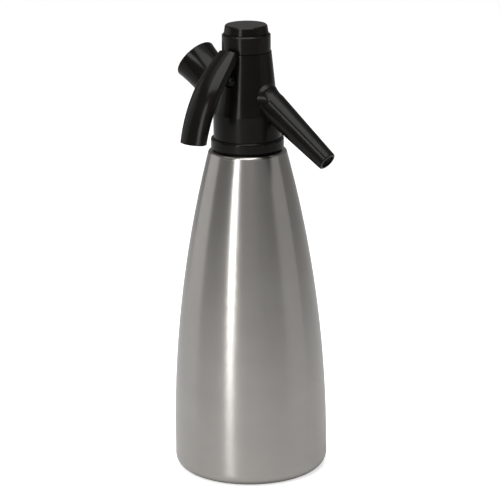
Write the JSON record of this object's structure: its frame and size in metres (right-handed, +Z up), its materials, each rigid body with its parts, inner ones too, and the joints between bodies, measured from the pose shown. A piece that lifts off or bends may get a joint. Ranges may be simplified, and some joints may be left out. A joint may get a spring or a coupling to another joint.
{
  "type": "soda siphon",
  "caption": "Soda siphon with a tapering brushed-steel bottle, black moulded head, slanting spout, side lever and capped charging stub.",
  "frame": {"origin": "centre of the bottle's flat base", "axes": "+Z up along the bottle, +X towards the spout, -Y towards the lever"},
  "size_m": [0.1267, 0.1132, 0.31],
  "materials": {
    "bottle_steel": "brushed",
    "black_moulding": "satin",
    "white_plastic": "satin",
    "turned_steel": "satin",
    "brass": "satin",
    "rubber": "matte"
  },
  "bodies": {
    "bottle": {"bottle": "bottle_steel", "measuring_tube": "white_plastic"},
    "head_lift": {"head_gasket": "rubber"},
    "head": {"head_housing": "black_moulding", "neck_insert": "brass", "upper_ring": "black_moulding", "top_cap": "black_moulding", "riser_tube": "turned_steel", "riser_seal": "rubber", "spout": "black_moulding", "spout_o_ring": "rubber", "spout_nozzle": "black_moulding", "valve_body": "brass", "valve_seat": "brass", "gland_nut": "black_moulding", "plunger_o_ring": "rubber", "valve_return_spring": "turned_steel", "charging_stub": "turned_steel", "stub_o_ring": "rubber", "gas_filter": "turned_steel", "piercing_pin": "turned_steel", "charger_gasket": "rubber", "check_spring": "turned_steel", "lever_pin": "turned_steel"},
    "plunger": {"valve_plunger": "turned_steel", "valve_seal": "rubber"},
    "lever": {"lever": "black_moulding"},
    "check": {"check_ball": "turned_steel"},
    "cap_lift": {"cap_gasket": "rubber"},
    "cap": {"stub_cap": "black_moulding", "cap_liner": "turned_steel"}
  },
  "joints": [
    {"name": "head_rise", "type": "slide", "parent": "bottle", "child": "head_lift", "axis": [0, 0, 1], "range_m": [0, 0.006]},
    {"name": "head_turn", "type": "hinge", "parent": "head_lift", "child": "head", "pos_m": [0, 0, 0], "axis": [0, 0, 1], "range_deg": [0, 721]},
    {"name": "lever_squeeze", "type": "hinge", "parent": "head", "child": "lever", "pos_m": [0, -0.0205, 0.286], "axis": [1, 0, 0], "range_deg": [0, 12]},
    {"name": "plunger_press", "type": "slide", "parent": "head", "child": "plunger", "axis": [0, 1, 0], "range_m": [0, 0.00209], "stiffness_N_per_m": 1500, "springref_m": -0.004, "deforming": ["valve_return_spring"]},
    {"name": "check_open", "type": "slide", "parent": "head", "child": "check", "axis": [0.8007, 0, -0.599], "range_m": [0, 0.001], "stiffness_N_per_m": 150, "springref_m": -0.001, "deforming": ["check_spring"]},
    {"name": "cap_rise", "type": "slide", "parent": "head", "child": "cap_lift", "axis": [-0.8007, 0, 0.599], "range_m": [0, 0.006]},
    {"name": "cap_turn", "type": "hinge", "parent": "cap_lift", "child": "cap", "pos_m": [0, 0, 0.2473], "axis": [-0.8007, 0, 0.599], "range_deg": [0, 1081]}
  ],
  "couplings": [
    {"joint": "head_turn", "follows": "head_rise", "rad_per_m": 2094.4},
    {"joint": "lever_squeeze", "follows": "plunger_press", "rad_per_m": 100},
    {"joint": "cap_turn", "follows": "cap_rise", "rad_per_m": 3141.6}
  ]
}
